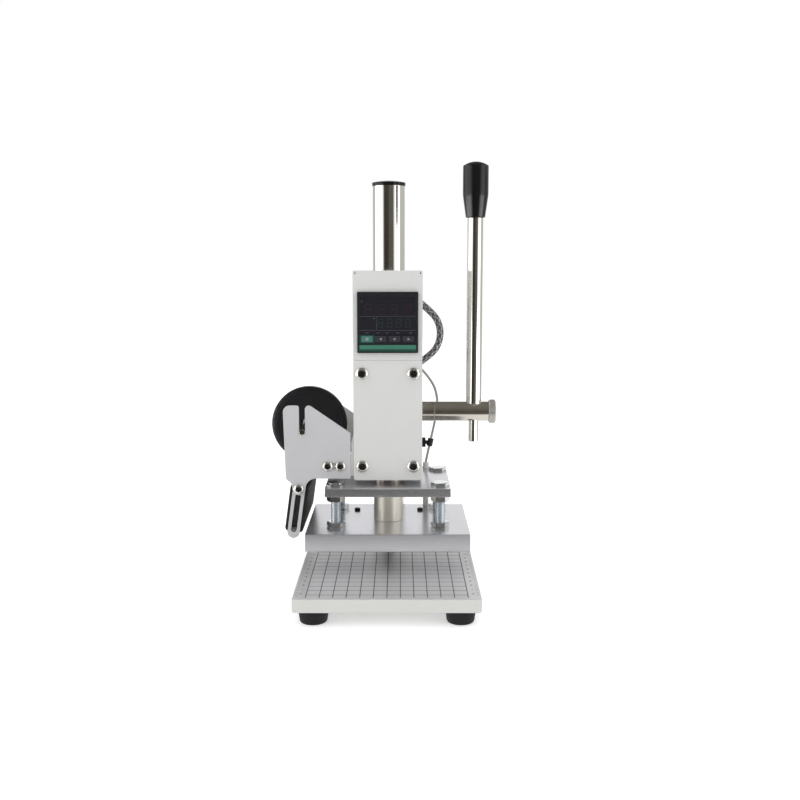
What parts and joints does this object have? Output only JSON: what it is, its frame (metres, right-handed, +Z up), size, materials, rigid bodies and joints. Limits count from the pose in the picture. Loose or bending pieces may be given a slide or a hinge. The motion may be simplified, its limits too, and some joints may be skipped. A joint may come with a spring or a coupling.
{
  "type": "hot foil stamping machine",
  "caption": "Bench hot foil stamping press: column, sliding head with lever, rack and pinion ram, heated plate, temperature controller and foil reel holder over a gridded base.",
  "frame": {"origin": "centre of the work table's top face, straight below the ram's axis", "axes": "+Z up along the ram and the column, -Y towards the user, +X to the user's right, where the lever is"},
  "size_m": [0.1913, 0.21, 0.3485],
  "materials": {
    "silver_plate": "brushed silver, squared grid",
    "black_rubber": "matt black rubber",
    "bright_steel": "bright turned steel",
    "chrome": "polished chrome",
    "black_gloss": "glossy black",
    "black_plastic": "satin black",
    "grey_plastic": "satin dark grey",
    "painted_casting": "white powder coat over cast aluminium",
    "white_paint": "white powder coat",
    "plain_sheet": "light grey powder coat",
    "bronze": "sintered bronze",
    "dark_steel": "blackened steel",
    "machined_aluminium": "milled bright aluminium",
    "zinc_steel": "bright zinc plating",
    "white_sleeve": "white glass fibre sleeve",
    "grey_lead": "grey braided insulation",
    "metal_sleeve": "braided metal sleeve",
    "controller_case": "black satin plastic",
    "display_window": "dark gloss window, unlit",
    "green_key": "green satin key",
    "dark_key": "dark grey satin key"
  },
  "bodies": {
    "base": {"base_plate": "silver_plate", "feet": "black_rubber", "foot_screws": "bright_steel", "column": "chrome", "column_bolt": "bright_steel", "column_cap": "black_gloss"},
    "head": {"cover_screws": "bright_steel", "box_screws": "bright_steel", "mount_screws": "bright_steel", "foil_plate_screws": "bright_steel", "pivot_screws": "bright_steel", "pivot_nuts": "bright_steel", "reel_shaft": "bright_steel", "shaft_sleeve": "bright_steel", "lead_clip": "black_plastic", "cord_gland": "black_plastic", "switch_body": "black_plastic", "head_body": "painted_casting", "front_cover": "white_paint", "box_shell": "white_paint", "foil_mount": "white_paint", "front_foil_plate": "white_paint", "rear_foil_plate": "white_paint", "box_base": "plain_sheet", "lower_bush": "bronze", "upper_bush": "bronze", "left_bush": "bronze", "clamp_screws": "dark_steel", "return_spring": "dark_steel", "heater_lead": "grey_lead", "sleeved_cable": "metal_sleeve", "controller": "controller_case", "controller_window": "display_window"},
    "lever": {"lever_shaft": "bright_steel", "pinion": "dark_steel", "pinion_key": "dark_steel", "lever_rod": "chrome", "lever_knob": "black_gloss", "end_cap": "bright_steel"},
    "press": {"ram": "bright_steel", "ram_bolt": "dark_steel", "pillar": "bright_steel", "upper_plate": "machined_aluminium", "plate_bolts": "zinc_steel", "plate_nuts": "zinc_steel", "heating_plate": "machined_aluminium", "heaters": "dark_steel", "heater_screws": "dark_steel", "temperature_probe": "dark_steel", "lead_sleeve": "white_sleeve"},
    "reel": {"reel_disc": "black_plastic"},
    "guide": {"guide_channel": "chrome", "guide_links": "white_paint"},
    "set_key": {"set_key": "green_key"},
    "shift_key": {"shift_key": "dark_key"},
    "down_key": {"down_key": "dark_key"},
    "up_key": {"up_key": "dark_key"},
    "rocker": {"switch_rocker": "grey_plastic"}
  },
  "joints": [
    {"name": "head_height", "type": "slide", "parent": "base", "child": "head", "axis": [0, 0, 1], "range_m": [0, 0.11]},
    {"name": "lever_turn", "type": "hinge", "parent": "head", "child": "lever", "pos_m": [0, 0.02, 0.121], "axis": [1, 0, 0], "range_deg": [0, 90], "stiffness_Nm_per_rad": 0.15, "springref_deg": -171.89},
    {"name": "ram_slide", "type": "slide", "parent": "head", "child": "press", "axis": [0, 0, -1], "range_m": [0, 0.0189], "deforming": ["heater_lead"]},
    {"name": "reel_spin", "type": "hinge", "parent": "head", "child": "reel", "pos_m": [-0.0687, 0.0425, 0.1069], "axis": [0, 1, 0], "continuous": true},
    {"name": "guide_swing", "type": "hinge", "parent": "head", "child": "guide", "pos_m": [-0.0719, 0.028, 0.0638], "axis": [0, 1, 0], "range_deg": [0, 60]},
    {"name": "set_key_press", "type": "slide", "parent": "head", "child": "set_key", "axis": [0, 1, 0], "range_m": [0, 0.0005], "stiffness_N_per_m": 400, "springref_m": -0.002},
    {"name": "shift_key_press", "type": "slide", "parent": "head", "child": "shift_key", "axis": [0, 1, 0], "range_m": [0, 0.0005], "stiffness_N_per_m": 400, "springref_m": -0.002},
    {"name": "down_key_press", "type": "slide", "parent": "head", "child": "down_key", "axis": [0, 1, 0], "range_m": [0, 0.0005], "stiffness_N_per_m": 400, "springref_m": -0.002},
    {"name": "up_key_press", "type": "slide", "parent": "head", "child": "up_key", "axis": [0, 1, 0], "range_m": [0, 0.0005], "stiffness_N_per_m": 400, "springref_m": -0.002},
    {"name": "switch_rock", "type": "hinge", "parent": "head", "child": "rocker", "pos_m": [0.0165, 0.0433, 0.188], "axis": [1, 0, 0], "range_deg": [-20, 0]}
  ],
  "couplings": [
    {"joint": "ram_slide", "follows": "lever_turn", "m_per_rad": 0.012}
  ]
}
